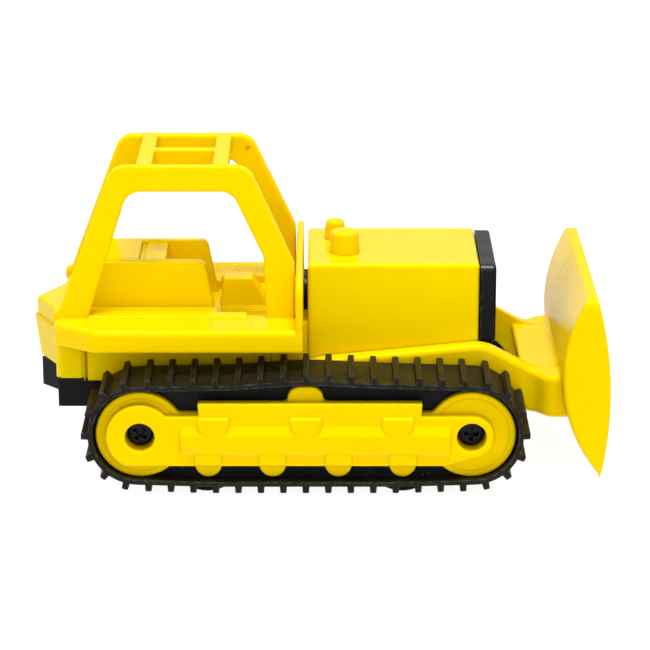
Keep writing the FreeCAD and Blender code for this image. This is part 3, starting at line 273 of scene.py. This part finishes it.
for part in frame["record"]["subparts"]:
    node = NODES[part["node"]]
    node.data.materials.clear()
    node.data.materials.append(MATERIALS[part["material_slot"]])


# ---------------------------------------------------------------- moulded details
def chassis_detail(name, mesh, material):
    """Turns mesh data into a smooth piece in the given material that rides on the chassis."""
    data = bpy.data.meshes.new(name)
    mesh.to_mesh(data)
    mesh.free()
    for polygon in data.polygons:
        polygon.use_smooth = True
    data.materials.append(material)
    piece = bpy.data.objects.new(name, data)
    bpy.context.collection.objects.link(piece)
    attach(piece, "chassis")


def tread_pad(name, side):
    """Anti-slip pad on a fender: staggered wavy ridges that fade out towards the rim (all mm)."""
    x_low, x_high = -21.6, -13.0
    y_low, y_high = 16.6, 23.4
    step = 0.15
    row_width, pitch = 1.15, 1.5
    ridge_height, lift, rim_drop = 0.16, 0.004, 0.03
    columns = round((x_high - x_low) / step)
    rows = round((y_high - y_low) / step)
    mesh = bmesh.new()
    grid = []
    for i in range(columns + 1):
        x = x_low + i * step
        line = []
        for j in range(rows + 1):
            y = y_low + j * step
            row = math.floor((y - y_low) / row_width)
            lean = 0.75 if row % 2 else -0.75
            across = (y - y_low) / row_width - row
            wave = math.cos(2 * math.pi * (x + lean * across) / pitch + row * 1.3)
            ridge = max(0.0, wave) * math.sin(math.pi * across) ** 0.5
            rim = min(x - x_low, x_high - x, y - y_low, y_high - y) / 0.5
            height = ridge_height * ridge * min(1.0, rim) - (rim_drop if rim < 0.05 else 0.0)
            line.append(mesh.verts.new((x * MM, side * y * MM, (FENDER_TOP + lift + height) * MM)))
        grid.append(line)
    for i in range(columns):
        for j in range(rows):
            corners = [grid[i][j], grid[i + 1][j], grid[i + 1][j + 1], grid[i][j + 1]]
            mesh.faces.new(corners if side > 0 else corners[::-1])
    chassis_detail(name, mesh, MATERIALS["yellow_plastic"])


def gate_mark(name):
    """Trimmed stub of the moulding gate, high on the inner face of the left roof leg."""
    centre = Vector((-14.7, 11.93, 62.2)) * MM
    sides = 16
    mesh = bmesh.new()
    rings = []
    for radius, proud in ((0.62, -0.3), (0.60, 0.02), (0.46, 0.14), (0.2, 0.08)):
        ring = []
        for index in range(sides):
            angle = 2 * math.pi * index / sides
            reach = radius * (1 + 0.14 * math.sin(3 * angle + 0.7)) * MM
            place = centre + Vector((math.cos(angle) * reach, -proud * MM, math.sin(angle) * reach))
            ring.append(mesh.verts.new(place))
        rings.append(ring)
    for outer, inner in zip(rings, rings[1:]):
        for index in range(sides):
            after = (index + 1) % sides
            mesh.faces.new((outer[index], outer[after], inner[after], inner[index]))
    mesh.faces.new(rings[0])
    mesh.faces.new(rings[-1])
    bmesh.ops.recalc_face_normals(mesh, faces=mesh.faces)
    material = moulded_plastic("gate_mark_look", (0.84, 0.36, 0.0), (0.72, 0.28, 0.0))
    chassis_detail(name, mesh, material)


tread_pad("tread_pad_left", 1)
tread_pad("tread_pad_right", -1)
gate_mark("roof_gate_mark")


# ---------------------------------------------------------------- studio
def studio():
    """White world, a floor that glows white, and two soft lights."""
    world = bpy.data.worlds.new("studio")
    world.use_nodes = True
    background = world.node_tree.nodes["Background"]
    background.inputs["Color"].default_value = (1.0, 1.0, 1.0, 1.0)
    background.inputs["Strength"].default_value = WORLD_LIGHT
    bpy.context.scene.world = world
    bpy.context.scene.view_settings.view_transform = "Standard"

    mesh = bpy.data.meshes.new("floor")
    reach = 3.0
    corners = [(-reach, -reach, 0), (reach, -reach, 0), (reach, reach, 0), (-reach, reach, 0)]
    mesh.from_pydata(corners, [], [(0, 1, 2, 3)])
    floor = bpy.data.objects.new("floor", mesh)
    bpy.context.collection.objects.link(floor)
    s = Shader("floor_look")
    s.set(Base_Color=(0.3, 0.3, 0.3), Roughness=0.9, Specular_IOR_Level=0.0,
          Emission_Color=(1.0, 1.0, 1.0), Emission_Strength=FLOOR_GLOW)
    mesh.materials.append(s.material)

    def softbox(name, place, size, power):
        data = bpy.data.lights.new(name, "AREA")
        data.shape = "RECTANGLE"
        data.size, data.size_y = size
        data.energy = power
        light = bpy.data.objects.new(name, data)
        bpy.context.collection.objects.link(light)
        light.location = place
        aim = Vector((0, 0, 0.03)) - Vector(place)
        light.rotation_euler = aim.to_track_quat("-Z", "Y").to_euler()

    softbox("overhead", (0.0, -0.14, 0.8), (0.34, 0.24), 6.5)
    softbox("front", (0.1, -0.9, 0.35), (0.8, 0.5), 2.3)


def camera():
    """Level side view from a little above, through a long lens."""
    data = bpy.data.cameras.new("camera")
    data.sensor_width = 36.0
    data.lens = 155.96
    data.clip_start = 0.01
    data.clip_end = 20.0
    eye = bpy.data.objects.new("camera", data)
    bpy.context.collection.objects.link(eye)
    target = Vector((0.0015, 0.0, 0.027))
    elevation = math.radians(18.0)
    distance = 0.5867
    eye.location = target + distance * Vector((0, -math.cos(elevation), math.sin(elevation)))
    eye.rotation_euler = (target - eye.location).to_track_quat("-Z", "Y").to_euler()
    bpy.context.scene.camera = eye


studio()
camera()
